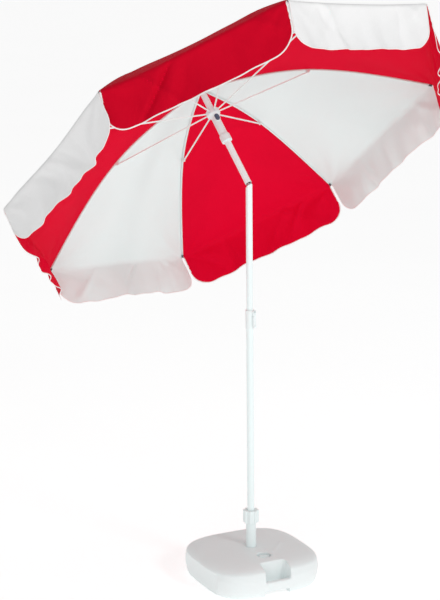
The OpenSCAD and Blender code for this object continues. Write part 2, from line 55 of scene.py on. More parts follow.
joints = {joint["name"]: joint for joint in frame["joints"]}
scene = bpy.context.scene


# ---- camera ----

cameraSet = {
    "place": (-3.003, -5.884, 2.627),  # metres, eye level of someone standing
    "heading": -26.05,  # degrees about the vertical
    "pitch": -12.79,
    "roll": -0.55,
    "lens": 105.8,
}


def makeCamera(s):
    data = bpy.data.cameras.new("camera")
    data.lens = s["lens"]
    data.sensor_width = 36
    data.clip_end = 300
    camera = bpy.data.objects.new("camera", data)
    scene.collection.objects.link(camera)
    turn = Euler((math.radians(90 + s["pitch"]), 0, math.radians(s["heading"]))).to_matrix()
    turn = turn @ Matrix.Rotation(math.radians(s["roll"]), 3, "Z")
    camera.matrix_world = Matrix.Translation(s["place"]) @ turn.to_4x4()
    scene.camera = camera


makeCamera(cameraSet)
print("camera set")


# ---- material sums ----


class Wire:  # one shader value, so that a pattern reads as a sum
    def __init__(self, paint, socket):
        self.paint, self.socket = paint, socket

    def math(self, operation, *terms):
        return self.paint.node("ShaderNodeMath", {"operation": operation}, dict(enumerate(terms)))

    def __add__(self, other):
        return self.math("ADD", self, other)

    def __sub__(self, other):
        return self.math("SUBTRACT", self, other)

    def __rsub__(self, other):
        return self.math("SUBTRACT", other, self)

    def __mul__(self, other):
        return self.math("MULTIPLY", self, other)

    def __truediv__(self, other):
        return self.math("DIVIDE", self, other)

    def __pow__(self, other):
        return self.math("POWER", self, other)

    def __abs__(self):
        return self.math("ABSOLUTE", self)

    def sine(self):
        return self.math("SINE", self)

    def fract(self):
        return self.math("FRACT", self)

    __radd__ = __add__
    __rmul__ = __mul__


class Paint:  # a material on the mixing table
    def __init__(self, name, roughness, **fixed):
        self.material = bpy.data.materials.new(name)
        self.material.use_nodes = True
        self.tree = self.material.node_tree
        self.shader = self.tree.nodes["Principled BSDF"]
        self.shader.inputs["Roughness"].default_value = roughness
        for socket, value in fixed.items():
            self.shader.inputs[socket.replace("_", " ")].default_value = value

    def node(self, kind, settings=None, sockets=None, out=0):
        node = self.tree.nodes.new(kind)
        for key, value in (settings or {}).items():
            setattr(node, key, value)
        for key, value in (sockets or {}).items():
            if isinstance(value, Wire):
                self.tree.links.new(value.socket, node.inputs[key])
            else:
                node.inputs[key].default_value = value
        return Wire(self, node.outputs[out])

    def place(self, kind="Object"):
        return self.node("ShaderNodeTexCoord", out=kind)

    def split(self, vector):
        first = self.node("ShaderNodeSeparateXYZ", sockets={0: vector})
        return [Wire(self, first.socket.node.outputs[i]) for i in range(3)]

    def noise(self, vector, scale, detail=2.0, roughness=0.5):
        sockets = {"Vector": vector, "Scale": scale, "Detail": detail, "Roughness": roughness}
        return self.node("ShaderNodeTexNoise", sockets=sockets)

    def stretch(self, vector, scale):
        return self.node("ShaderNodeMapping", sockets={"Vector": vector, "Scale": scale})

    def soft(self, value, low, high):  # 0 under low, 1 over high, smooth between
        return self.node(
            "ShaderNodeMapRange",
            {"interpolation_type": "SMOOTHSTEP"},
            {"Value": value, "From Min": low, "From Max": high},
        )

    def blend(self, factor, first, second):
        return self.node(
            "ShaderNodeMix",
            {"data_type": "RGBA"},
            {0: factor, 6: first, 7: second},
            out=2,
        )

    def feed(self, socket, wire):
        self.tree.links.new(wire.socket, self.shader.inputs[socket])
        return self

    def bump(self, height, distance, strength=1.0):
        sockets = {"Height": height, "Distance": distance, "Strength": strength}
        return self.feed("Normal", self.node("ShaderNodeBump", sockets=sockets))


def shade(red, green, blue):  # a display colour from 0 to 255 as the shader's linear colour
    level = np.array([red, green, blue]) / 255
    linear = np.where(level > 0.04045, ((level + 0.055) / 1.055) ** 2.4, level / 12.92)
    return (*[float(x) for x in linear], 1.0)


# ---- plastics, enamel and metal ----


def mouldedPlastic(name, colour, deep, roughness, grain, grainDepth, cloud=9):
    paint = Paint(name, roughness, IOR=1.5, Coat_Weight=0.08, Coat_Roughness=0.25)
    at = paint.place()
    clouds = paint.noise(at, cloud, 3.0)
    fine = paint.noise(at, grain, 2.0, 0.6)
    dust = paint.soft(paint.noise(at, 38, 5.0, 0.62), 0.56, 0.8)
    scuffs = paint.soft(paint.noise(paint.stretch(at, (30, 140, 60)), 1.0, 4.0, 0.7), 0.62, 0.78)
    paint.feed("Base Color", paint.blend(clouds * 0.45 + dust * 0.25, colour, deep))
    paint.feed("Roughness", roughness + (clouds - 0.5) * 0.12 + dust * 0.08 + scuffs * 0.1)
    paint.bump(fine + clouds * 0.4 + scuffs * 0.3, grainDepth)
    return paint.material


def enamel(name, colour, deep, roughness):  # baked paint on steel: a faint orange peel
    paint = Paint(name, roughness, IOR=1.5, Coat_Weight=0.25, Coat_Roughness=0.12)
    at = paint.place()
    peel = paint.noise(at, 260, 2.0)
    cloud = paint.noise(paint.stretch(at, (14, 14, 5)), 1.0, 3.0)
    chips = paint.soft(paint.noise(at, 95, 4.0, 0.68), 0.72, 0.8)
    paint.feed("Base Color", paint.blend(cloud * 0.4 + chips * 0.3, colour, deep))
    paint.feed("Roughness", roughness + (cloud - 0.5) * 0.14 + chips * 0.15)
    paint.bump(peel * 0.7 + cloud * 0.3, 0.00015)
    return paint.material


def plainMetal(name, colour, deep, roughness, brush=(500, 500, 12)):
    paint = Paint(name, roughness, Metallic=1.0, IOR=2.5)
    at = paint.place()
    lines = paint.noise(paint.stretch(at, brush), 1.0, 3.0)
    bloom = paint.soft(paint.noise(at, 60, 4.0, 0.6), 0.45, 0.75)
    paint.feed("Base Color", paint.blend(bloom * 0.7, colour, deep))
    paint.feed("Roughness", roughness + (lines - 0.5) * 0.2 + bloom * 0.15)
    paint.bump(lines, 0.00004)
    return paint.material


def rubber(name, colour, deep):
    paint = Paint(name, 0.7, IOR=1.45)
    at = paint.place()
    grain = paint.noise(at, 700, 3.0, 0.7)
    paint.feed("Base Color", paint.blend(paint.noise(at, 40, 3.0), colour, deep))
    paint.feed("Roughness", 0.62 + grain * 0.2)
    paint.bump(grain, 0.0001)
    return paint.material


def stillWater(name):
    paint = Paint(name, 0.05, IOR=1.33, Transmission_Weight=0.0, Alpha=1.0)
    at = paint.place()
    cloud = paint.noise(at, 6, 2.0)
    paint.feed("Base Color", paint.blend(cloud, shade(176, 205, 220), shade(150, 190, 210)))
    paint.feed("Roughness", 0.04 + cloud * 0.06)
    paint.bump(cloud, 0.0005)
    return paint.material


# the whites below lean slightly cyan: a painted counter-tint that cancels the red light the canopy bounces onto
# them
tankWhite = mouldedPlastic("tank_white", shade(236, 243, 243), shade(228, 236, 236), 0.42, 420, 0.00022)
partWhite = mouldedPlastic("moulded_white", shade(238, 248, 248), shade(230, 241, 241), 0.34, 800, 0.00006)
sleeveGrey = mouldedPlastic("runner_grey", shade(228, 243, 243), shade(218, 233, 234), 0.32, 800, 0.00006)
fittingGrey = mouldedPlastic("fitting_grey", shade(92, 94, 99), shade(74, 76, 80), 0.45, 900, 0.00006, 40)
buttonBlue = mouldedPlastic("button_blue", shade(70, 88, 112), shade(52, 68, 90), 0.3, 900, 0.00005, 60)
poleWhite = enamel("pole_enamel", shade(238, 250, 250), shade(230, 244, 244), 0.28)
ribWhite = enamel("rib_enamel", shade(243, 252, 251), shade(234, 244, 243), 0.32)
steel = plainMetal("bare_steel", (0.62, 0.62, 0.63, 1), (0.5, 0.5, 0.5, 1), 0.3)
zinc = plainMetal("zinc_plate", (0.55, 0.56, 0.58, 1), (0.42, 0.43, 0.45, 1), 0.42, (220, 220, 220))
sealRubber = rubber("seal_rubber", (0.03, 0.03, 0.03, 1), (0.05, 0.05, 0.05, 1))
water = stillWater("water")

finishes = {
    "white_plastic": partWhite,
    "grey_plastic": fittingGrey,
    "blue_plastic": buttonBlue,
    "pole_paint": poleWhite,
    "rib_paint": ribWhite,
    "bare_steel": steel,
    "zinc": zinc,
    "seal_rubber": sealRubber,
    "water": water,
}


def bracketPaint(name):  # the rib's bracket is white, the cap on its tip grey
    paint = Paint(name, 0.4, IOR=1.5)
    at = paint.place()
    far = paint.node("ShaderNodeVectorMath", {"operation": "DISTANCE"}, {0: at, 1: tuple(hub)}, out=1)
    tip = paint.soft(far, 0.7, 0.72)
    fine = paint.noise(at, 900, 2.0)
    cloud = paint.noise(at, 50, 3.0)
    light = paint.blend(cloud, shade(240, 240, 238), shade(228, 228, 228))
    dark = paint.blend(cloud, shade(92, 94, 99), shade(70, 72, 77))
    paint.feed("Base Color", paint.blend(tip, light, dark))
    paint.feed("Roughness", 0.36 + cloud * 0.12)
    paint.bump(fine, 0.00005)
    return paint.material


def dressFrame(record):  # every kept CAD piece takes the finish of its slot
    slotOf = {part["node"]: part["material_slot"] for part in record["subparts"]}
    for name, node in nodes.items():
        finish = finishes.get(slotOf.get(name))
        if name == "runner":
            finish = sleeveGrey
        if name.startswith("fitting"):
            finish = brackets
        if finish is None:
            continue
        for slot in node.material_slots:
            slot.material = finish


# ---- cloth ----

clothSet = {
    "thread": 0.0011,  # pitch of the weave, metres
    "stitch": 0.0042,  # length of one stitch and its gap
    "seamStitch": 0.0052,  # distance of the stitch line from the rib
    "gloss": 0.06,
}


def wovenCloth(name, outside, inside, thread, s):
    # two crossing thread waves, slubs stretched along each thread, and lock stitches beside the seams;
    # the inner face has its own pair of colours, and the inside red is brighter than the outside red as painted
    # light that stands in for light shining through the cloth
    sheen = {"Sheen_Weight": 0.06, "Sheen_Roughness": 0.4, "Sheen_Tint": outside[0]}
    paint = Paint(name, 0.78, Specular_IOR_Level=s["gloss"], **sheen)
    uv = paint.place("UV")
    across, down, _ = paint.split(uv)
    turns = 2 * math.pi / s["thread"]
    warp, weft = (across * turns).sine(), (down * turns).sine()
    weave = warp * weft * 0.5 + 0.5
    slubsDown = paint.noise(paint.stretch(uv, (900, 28, 1)), 1.0, 2.0)
    slubs = slubsDown + paint.noise(paint.stretch(uv, (28, 900, 1)), 1.0, 2.0)
    creases = paint.noise(uv, 5.5, 4.0, 0.55)
    pooled = paint.soft(paint.noise(uv, 2.2, 2.0), 0.35, 0.7)
    hem = paint.node("ShaderNodeAttribute", {"attribute_name": "seam"}, out="Fac")
    within = paint.node("ShaderNodeAttribute", {"attribute_name": "inside"}, out="Fac")
    colour = paint.blend(within, outside[0], inside[0])
    deep = paint.blend(within, outside[1], inside[1])
    onLine = 1 - paint.soft(abs(abs(across) - s["seamStitch"]), 0.0005, 0.0009)
    phase = (down / s["stitch"]).fract()
    stitches = onLine * (1 - paint.soft(abs(phase - 0.5), 0.3, 0.38))
    depth = paint.blend(pooled * 0.35 + (slubs - 1) * 0.5 + weave * 0.12, colour, deep)
    depth = paint.blend(hem * 0.25, depth, deep)
    paint.feed("Base Color", paint.blend(stitches * 0.85, depth, thread))
    paint.feed("Roughness", 0.66 + (slubs - 1) * 0.25 + creases * 0.1)
    paint.bump(weave * 0.16 + slubs * 0.2 + creases * 1.4 + stitches * 0.6 - hem * 0.2, 0.0016, 0.8)
    return paint.material


# the inside reds are brighter than the outside reds: painted light standing in for light that shines through the
# cloth
redOut, redIn = (shade(206, 0, 36), shade(178, 0, 30)), (shade(226, 0, 46), shade(204, 0, 38))
whiteOut, whiteIn = (shade(240, 240, 240), shade(228, 229, 230)), (shade(232, 243, 242), shade(224, 236, 235))
redCloth = wovenCloth("red_cloth", redOut, redIn, shade(236, 190, 196), clothSet)
whiteCloth = wovenCloth("white_cloth", whiteOut, whiteIn, shade(250, 250, 250), clothSet)


def tapeCloth(name, colour, deep):  # ribbed binding tape with one row of stitches along it
    paint = Paint(name, 0.7, IOR=1.45, Sheen_Weight=0.2, Sheen_Roughness=0.5)
    uv = paint.place("UV")
    across, along, _ = paint.split(uv)
    ribbed = (along * 3600).sine()
    phase = (along / 0.0036).fract()
    onLine = 1 - paint.soft(abs(across - 0.0034), 0.0003, 0.0006)
    stitch = onLine * (1 - paint.soft(abs(phase - 0.5), 0.28, 0.38))
    fuzz = paint.noise(uv, 300, 3.0)
    paint.feed("Base Color", paint.blend(fuzz * 0.5 + stitch * 0.3, colour, deep))
    paint.feed("Roughness", 0.62 + fuzz * 0.2)
    paint.bump(ribbed * 0.2 + fuzz * 0.4 - stitch * 0.9, 0.0004)
    return paint.material


tapeWhite = tapeCloth("white_tape", shade(247, 245, 244), shade(232, 228, 227))
finishes["red_cloth"] = redCloth
finishes["white_cloth"] = whiteCloth
print("materials mixed")


# ---- mesh building ----


def gridFaces(rows, columns, start=0, flip=False):  # quads between neighbouring rows of points
    i = np.arange(rows - 1)[:, None] * columns + np.arange(columns - 1)[None, :] + start
    quads = np.stack([i, i + 1, i + columns + 1, i + columns], -1).reshape(-1, 4)
    return quads[:, ::-1] if flip else quads


def rimLoop(rows, columns):  # point numbers round a grid's edge, in order
    top = np.arange(columns)
    right = np.arange(1, rows) * columns + columns - 1
    bottom = (rows - 1) * columns + np.arange(columns - 2, -1, -1)
    left = np.arange(rows - 2, 0, -1) * columns
    return np.concatenate([top, right, bottom, left])


def makeMesh(name, points, faces, uv=None, normals=None, marks=None, materials=()):
    mesh = bpy.data.meshes.new(name)
    mesh.from_pydata(points.reshape(-1, 3), [], faces)
    if uv is not None:
        corner = np.zeros(len(mesh.loops), np.int32)
        mesh.loops.foreach_get("vertex_index", corner)
        layer = mesh.uv_layers.new(name="flat")
        layer.data.foreach_set("uv", uv.reshape(-1, 2)[corner].astype(np.float32).ravel())
    for mark, values in (marks or {}).items():
        mesh.attributes.new(mark, "FLOAT", "POINT").data.foreach_set("value", values.ravel().astype(np.float32))
    mesh.polygons.foreach_set("use_smooth", np.ones(len(mesh.polygons), bool))
    mesh.validate()
    mesh.update()
    if normals is not None:
        mesh.normals_split_custom_set_from_vertices(normals.reshape(-1, 3).tolist())
    piece = bpy.data.objects.new(name, mesh)
    scene.collection.objects.link(piece)
    for material in materials:
        mesh.materials.append(material)
    return piece


def unit(v):
    return v / np.linalg.norm(v, axis=-1, keepdims=True)


def sweep(path, side, up, profile):
    # profile (x, y) carried along the path: point = path + x side + y up, one ring per path point
    x, y = profile[None, :, 0, None], profile[None, :, 1, None]
    return path[:, None, :] + x * side[:, None, :] + y * up[:, None, :]


def tubeFaces(rings, around):  # quads round a swept tube, with its two ends filled
    ring = np.arange(rings - 1)[:, None]
    point = np.arange(around)[None, :]
    a = ring * around + point
    b = ring * around + (point + 1) % around
    c = (ring + 1) * around + (point + 1) % around
    d = (ring + 1) * around + point
    quads = np.stack([a, b, c, d], -1).reshape(-1, 4).tolist()
    quads.append(list(range(around))[::-1])
    quads.append([(rings - 1) * around + i for i in range(around)])
    return quads


# ---- canopy ----

canopySet = {
    "spanR": 0.918,  # rib tips from the pole, metres
    "tipDrop": 0.255,
    "jointR": 0.455,
    "jointDrop": 0.0405,
    "ribT": 0.0044,
    "rimR": 0.927,
    "edgeBow": 0.014,
    "sag": 0.010,
    "valance": 0.163,
    "flapRound": 0.075,
    "flapGap": 0.0046,
    "cloth": 0.0009,
    "hubR": 0.0144,
    "hubTop": 0.0056,
    "across": 72,  # spaces over a whole panel, even
    "lip": 0.006,  # spare cloth tucked in beside the middle of a panel
    "folds": 0.0068,  # height of the hanging folds at the flap's edge
    "belly": 0.013,
    "keep": 0.95,  # width of a half panel when the ribs are down
}


def canopyFrame():
    # the middle of the rib pivots, the canopy pole's direction and the eight rib directions
    pivots = np.array([joints[f"rib_{k}_fold"]["pos_m"] for k in range(1, 9)])
    centre = pivots.mean(0)
    up = -unit(np.array(joints["runner_slide"]["axis"]))
    out = pivots - centre
    out = unit(out - (out @ up)[:, None] * up)
    return centre, up, out


hub, poleUp, ribOut = canopyFrame()
wireR = float(np.linalg.norm(np.array(joints["rib_1_fold"]["pos_m"]) - hub))


def ribLine(r, s):
    # height of a rib below its pivot and its slope: a cubic from the pivot to the bracket, another on to the tip
    arm, reach = s["jointR"] - wireR, s["spanR"] - s["jointR"]
    bend = (s["tipDrop"] - s["jointDrop"] - s["jointDrop"] * reach / arm) / (reach * (arm + reach) / 3)
    start = s["jointDrop"] / arm - bend * arm / 6
    middle = start + bend * arm / 2
    x, y = r - wireR, r - s["jointR"]
    inner = start * x + bend * x**3 / (6 * arm)
    outer = s["jointDrop"] + middle * y + bend * (y * y / 2 - y**3 / (6 * reach))
    slope = np.where(y < 0, start + bend * x * x / (2 * arm), middle + bend * (y - y * y / (2 * reach)))
    return np.where(y < 0, inner, outer), slope


def roofHeight(r, s):  # the cloth's inner face over the ribs, above the pivots
    inside = np.clip(r, 0.030, s["spanR"])
    drop, slope = ribLine(inside, s)
    over = s["ribT"] / 2 * np.sqrt(1 + slope**2) + 0.0012
    height = over - drop - np.maximum(r - s["spanR"], 0) * slope
    return np.maximum(height, s["hubTop"] - np.maximum(r - 0.028, 0) / 2)


def roofPoint(r, v, first, s):
    # v runs 0 to 1 between two ribs: the row bows inward and sinks as 4v(1-v), growing outward
    turn = np.radians(45) * v
    bow = 4 * v * (1 - v)
    grown = np.clip((r - s["hubR"]) / (s["rimR"] - s["hubR"]), 0, 1.05)
    e = r - s["edgeBow"] * bow * grown**2
    d = e * math.cos(math.pi / 8) / np.cos(turn - math.pi / 8)
    side = np.cross(poleUp, first)
    h = roofHeight(e, s) - s["sag"] * bow * grown
    outward = np.cos(turn)[..., None] * first + np.sin(turn)[..., None] * side
    return hub + d[..., None] * outward + h[..., None] * poleUp


def flapDepth(v, s):  # full depth less a rounded corner at each side, a little deeper in the middle
    side = np.minimum(v, 1 - v) * 2 * s["rimR"] * math.sin(math.pi / 8)
    q = np.clip(1 - side / s["flapRound"], 0, 1)
    return s["valance"] - 0.004 * np.sin(math.pi * v) - s["flapRound"] * (1 - np.sqrt(1 - q * q))


def panelSurface(k, v, s):
    # rows from the hub to the rim, then down the flap; returns points and the distance past the rim
    first, last = ribOut[k - 1], ribOut[k % 8]
    middle = unit(first + last)
    lift = max(0.0, float(middle[2]))
    way = unit(lift * np.array([0, 0, -1.0]) - (1 - lift) * poleUp)
    hubRows = np.array([s["hubR"], 0.019, 0.025, 0.028, 0.034, 0.045, 0.06])
    roofRows = np.concatenate([hubRows, np.linspace(0.08, s["rimR"] - 0.016, 54)])
    steps = np.linspace(0, 1, 7)[1:-1]
    flapRows = np.linspace(0.1, 1, 26)
    vr = np.broadcast_to(v, (len(roofRows), len(v)))
    roof = roofPoint(np.broadcast_to(roofRows[:, None], vr.shape), vr, first, s)
    gap = s["flapGap"] / (2 * s["rimR"] * math.sin(math.pi / 8))
    vf = gap + v * (1 - 2 * gap)
    rim = roofPoint(np.full(len(v), s["rimR"]), v, first, s)
    rimIn = roofPoint(np.full(len(v), s["rimR"]), vf, first, s)
    depth = flapDepth(v, s)
    flap = rimIn[None] + (flapRows[:, None] * depth)[..., None] * way
    t = steps[:, None, None]
    crease = (1 - t) ** 2 * roof[-1] + 2 * t * (1 - t) * rim + t**2 * flap[0]
    points = np.concatenate([roof, crease, flap])
    past = np.concatenate([roofRows - s["rimR"], -0.016 + steps * 0.032, flapRows * s["valance"]])
    return points, past[:, None] + 0 * v[None, :]


def gridNormals(points):  # cross product of the steps down the rows and across the columns
    down = np.gradient(points, axis=0)
    across = np.gradient(points, axis=1)
    return unit(np.cross(down, across))


def wrinkles(k, past, v, s):
    # hanging folds that grow down the flap, creases fanning from each rib tip, and puckers beside the seams
    dice = np.random.default_rng(40 + k)
    phase = dice.uniform(0, 2 * math.pi, 12)
    size = dice.uniform(0.7, 1.2, 12)
    width = 2 * s["rimR"] * math.sin(math.pi / 8)
    y = (v - 0.5) * width
    edge = np.minimum(v, 1 - v) * width
    inner = 1 - np.exp(-((edge / 0.05) ** 2))
    fall = np.clip(past / s["valance"], 0, 1)
    grow = fall**1.3
    slant = y + 0.25 * past * np.sin(phase[3])
    folds = size[0] * np.sin(slant / 0.030 + phase[0])
    folds = folds + 0.6 * size[1] * np.sin(slant / 0.0155 + phase[1])
    folds = folds + 0.9 * size[2] * np.sin(slant / 0.071 + phase[2])
    hanging = s["folds"] * grow * (0.35 + 0.65 * inner) * folds
    swell = s["belly"] * size[3] * np.sign(np.sin(phase[4]))
    belly = swell * np.sin(math.pi * np.clip(v, 0, 1)) * np.sin(math.pi * fall * 0.8)
    # sharp drag creases: ridges of a bell section that start under the rim and run slanting down the flap
    start = dice.uniform(-0.45, 0.45, 9) * width
    lean, long = dice.uniform(-1.1, 1.1, 9), dice.uniform(0.05, 0.16, 9)
    tall, broad = dice.uniform(-0.0105, 0.0105, 9), dice.uniform(0.011, 0.024, 9)
    top = dice.uniform(0.0, 0.07, 9)
    run = np.maximum(past - 0.004, 0)[..., None]
    off = (y[..., None] - start - lean * run) / (broad * (1 + 4 * run))
    ridge = np.exp(-(off**2)) * np.exp(-(((run - top - long / 2) / long) ** 2)) * (run > 0)
    creased = (tall * ridge).sum(-1) * np.clip(past / 0.02, 0, 1) * inner
    fans = 0
    for side, corner in enumerate((0.0, 1.0)):
        ax, ay = (v - corner) * width * (1 if side == 0 else -1), past
        far = np.hypot(ax, ay) + 1e-6
        angle = np.arctan2(ay, ax)
        near = np.exp(-far / 0.16) * far / (far + 0.035)
        fans = fans + 0.0042 * near * np.sin(9 * angle + phase[5 + side]) * size[5 + side] * inner
    roofward = np.clip(1 + past / 0.75, 0, 1) * (past < 0) + (past >= 0)
    pucker = 0.0006 * np.sin(past / 0.0065 + phase[8]) * np.exp(-((edge - 0.012) ** 2) / 0.0001) * roofward
    waves = np.sin(past / 0.11 + phase[9]) * np.sin(y / 0.09 + phase[10])
    drift = 0.0022 * waves * inner * np.exp(-((past / 0.28) ** 2))
    return hanging + belly + creased + fans + pucker + drift


def flatUv(points):
    # across = distance from the nearer rib line, down = length of cloth from the hub
    steps = np.linalg.norm(np.diff(points, axis=0), axis=-1)
    down = np.concatenate([np.zeros((1, points.shape[1])), np.cumsum(steps, 0)])
    wide = np.linalg.norm(np.diff(points, axis=1), axis=-1)
    run = np.concatenate([np.zeros((points.shape[0], 1)), np.cumsum(wide, 1)], 1)
    across = np.minimum(run, run[:, -1:] - run)
    return np.stack([across, down], -1)


def halfPanel(k, half, points, normals, uv, seam, s):
    # one side of the panel as thin closed cloth; a thinner lip carries on past the middle
    mid = points.shape[1] // 2
    if half == "a":
        keep, lipAt = slice(0, mid + 1), mid + 1
    else:
        keep, lipAt = slice(mid, None), mid - 1
    core, turn, flat, edge = points[:, keep], normals[:, keep], uv[:, keep], seam[:, keep]
    rim = core[:, -1] if half == "a" else core[:, 0]
    step = points[:, lipAt] - rim
    length = np.linalg.norm(step, axis=-1, keepdims=True)
    shareWidth = np.clip(length * 12, 0, s["lip"])
    ahead = unit(step) * shareWidth
    nearTurn = turn[:, -1] if half == "a" else turn[:, 0]
    nearFlat = flat[:, -1] if half == "a" else flat[:, 0]
    lips = np.stack([rim + ahead * 0.01, rim + ahead], 1)
    thick = np.full(core.shape[:2], s["cloth"] / 2)
    thinTwo = np.full((core.shape[0], 2), s["cloth"] / 9)
    lipFlat = np.stack([nearFlat, nearFlat], 1)
    lipTurn = np.stack([nearTurn, nearTurn], 1)
    lipEdge = np.zeros((core.shape[0], 2))
    if half == "a":
        core, turn = np.concatenate([core, lips], 1), np.concatenate([turn, lipTurn], 1)
        flat, thick = np.concatenate([flat, lipFlat], 1), np.concatenate([thick, thinTwo], 1)
        edge = np.concatenate([edge, lipEdge], 1)
    else:
        core, turn = np.concatenate([lips[:, ::-1], core], 1), np.concatenate([lipTurn, turn], 1)
        flat, thick = np.concatenate([lipFlat, flat], 1), np.concatenate([thinTwo, thick], 1)
        edge = np.concatenate([lipEdge, edge], 1)
    rows, columns = core.shape[:2]
    middle = core + turn * (s["cloth"] / 2)
    outer, inner = middle + turn * thick[..., None], middle - turn * thick[..., None]
    count = rows * columns
    faces = np.concatenate([gridFaces(rows, columns, flip=True), gridFaces(rows, columns, count)])
    loop = rimLoop(rows, columns)
    following = np.roll(loop, -1)
    wall = np.stack([loop, following, following + count, loop + count], -1)
    both = np.concatenate([outer.reshape(-1, 3), inner.reshape(-1, 3)])
    turns = np.concatenate([turn.reshape(-1, 3), -turn.reshape(-1, 3)])
    flats = np.concatenate([flat.reshape(-1, 2)] * 2)
    edges = np.concatenate([edge.ravel()] * 2)
    material = redCloth if k % 2 == 0 else whiteCloth
    marks = {"seam": edges, "inside": np.repeat([0.0, 1.0], count)}
    allFaces = np.concatenate([faces, wall]).tolist()
    return makeMesh(f"canopy_{k}{half}", both, allFaces, flats, turns, marks, [material])


def rideRib(piece, rib):  # the piece goes with a rib
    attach(piece, f"rib{rib}")
    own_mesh(piece)
    return piece


bindingSet = {"wide": 0.0042, "thick": 0.0010, "edge": 0.0006}


def bindingStrip(k, half, points, normals, uv, flapStart, s, cloth):
    # folded tape carried round the flap's edge: down the side, round the corner and along the bottom
    mid = points.shape[1] // 2
    columns = range(0, mid + 1) if half == "a" else range(points.shape[1] - 1, mid - 1, -1)
    columns = np.array(list(columns))
    rowsDown = np.arange(flapStart, points.shape[0])
    path = np.concatenate([points[rowsDown, columns[0]], points[-1, columns[1:]]])
    turn = np.concatenate([normals[rowsDown, columns[0]], normals[-1, columns[1:]]])
    path = path + turn * (cloth / 2)
    along = unit(np.gradient(path, axis=0))
    turn = unit(turn - (turn * along).sum(-1, keepdims=True) * along)
    outward = np.cross(along, turn) if half == "a" else np.cross(turn, along)
    w, t, e = s["wide"], s["thick"], s["edge"]
    profile = np.array(
        [(-w, -t * 0.55), (-w * 0.55, -t), (-0.0008, -t * 0.95), (e * 0.7, -t * 0.6), (e, 0.0),
         (e * 0.7, t * 0.6), (-0.0008, t * 0.95), (-w * 0.55, t), (-w, t * 0.55)]
    )
    rings = sweep(path, outward, turn, profile)
    around = len(profile)
    lengths = np.concatenate([[0], np.cumsum(np.linalg.norm(np.diff(path, axis=0), axis=-1))])
    flat = np.zeros((len(path), around, 2))
    flat[..., 0] = np.abs(profile[None, :, 0])
    flat[..., 1] = lengths[:, None]
    faces = tubeFaces(len(path), around)
    if half == "b":
        faces = [face[::-1] for face in faces]
    return makeMesh(f"binding_{k}{half}", rings, faces, flat, None, None, [tapeWhite])


def makeCanopy(s):
    v = np.linspace(0, 1, s["across"] + 1)
    near = np.array([0.0, 0.0015, 0.004, 0.0075, 0.012])
    body = np.linspace(0.018, 0.5, s["across"] // 2 - len(near) + 1)
    half = np.concatenate([near, body])
    v = np.concatenate([half, 1 - half[-2::-1]])
    for k in range(1, 9):
        points, past = panelSurface(k, v, s)
        normals = gridNormals(points)
        if ((normals[20:40].mean((0, 1))) @ poleUp) < 0:
            normals = -normals
        points = points + normals * wrinkles(k, past, v[None, :], s)[..., None]
        flipped = gridNormals(points)
        normals = flipped if (flipped[20:40].mean((0, 1)) @ poleUp) > 0 else -flipped
        uv = flatUv(points)
        nearRib = np.minimum(v, 1 - v)[None, :] * np.linalg.norm(points[:, -1] - points[:, 0], axis=-1)[:, None]
        seam = np.exp(-((nearRib / 0.004) ** 2)) * (past < 0)
        rimSeam = np.exp(-((past / 0.005) ** 2)) * 0.6
        seam = np.maximum(seam, rimSeam)
        flapStart = int(np.argmax(past[:, 0] > 0))
        panelArea = flatArea(points)
        for half in "ab":
            rib = k if half == "a" else k % 8 + 1
            piece = halfPanel(k, half, points, normals, uv, seam, s)
            tape = bindingStrip(k, half, points, normals, uv, flapStart, bindingSet, s["cloth"])
            for each in (piece, tape):
                rideRib(each, rib)
            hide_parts(f"panel_{k}")
    print("canopy sewn")


def flatArea(points):  # area of the grid's quads, each as two triangles
    a, b = points[1:, 1:] - points[:-1, :-1], points[1:, :-1] - points[:-1, 1:]
    return float(np.linalg.norm(np.cross(a, b), axis=-1).sum() / 2)


makeCanopy(canopySet)


# ---- base ----

tankSet = {
    "half": 0.236,  # half width across the flats
    "high": 0.128,
    "widest": 0.074,
    "square": 3.3,
    "foot": 0.018,
    "gripWide": 0.108,
    "gripDeep": 0.060,
    "barLow": 0.020,
    "barHigh": 0.062,
    "barThick": 0.022,
    "scoopWide": 0.280,
    "scoopDeep": 0.020,
    "scoopTop": 0.092,
    "voxel": 0.0030,
}


def tankSkin(s):
    # rings of a rounded square |x|^n + |y|^n = a^n, its half width and height following the side's profile
    around, foot = 160, s["foot"]
    q = np.linspace(0, math.pi / 2, 14)
    low = np.stack([s["half"] - foot * (1 - np.sin(q)), s["widest"] * (1 - np.cos(q))], -1)
    q = np.radians(90 * np.linspace(0.12, 1, 60) ** 0.8)
    wide, rise = np.maximum(np.cos(q), 0) ** 0.42, np.sin(q) ** 0.62
    top = np.stack([s["half"] * wide, s["widest"] + (s["high"] - s["widest"]) * rise], -1)
    top[-1, 0] = 0.004
    profile = np.concatenate([[[0.06, 0.0]], low, top])
    t = np.linspace(0, 2 * math.pi, around, endpoint=False)
    c = np.sign(np.cos(t)) * np.abs(np.cos(t)) ** (2 / s["square"])
    d = np.sign(np.sin(t)) * np.abs(np.sin(t)) ** (2 / s["square"])
    rings = np.stack([profile[:, 0, None] * c, profile[:, 0, None] * d, profile[:, 1, None] + 0 * c], -1)
    return makeMesh("tank", rings, tubeFaces(len(profile), around))


def roundedBox(name, low, high, radius):
    low, high = np.array(low, float), np.array(high, float)
    corner = np.array([[x, y, z] for x in (0, 1) for y in (0, 1) for z in (0, 1)])
    faces = [(0, 1, 3, 2), (4, 6, 7, 5), (0, 4, 5, 1), (2, 3, 7, 6), (0, 2, 6, 4), (1, 5, 7, 3)]
    box = makeMesh(name, low + corner * (high - low), faces)
    bevel = box.modifiers.new("round", "BEVEL")
    bevel.width, bevel.segments, bevel.limit_method = radius, 4, "NONE"
    return box


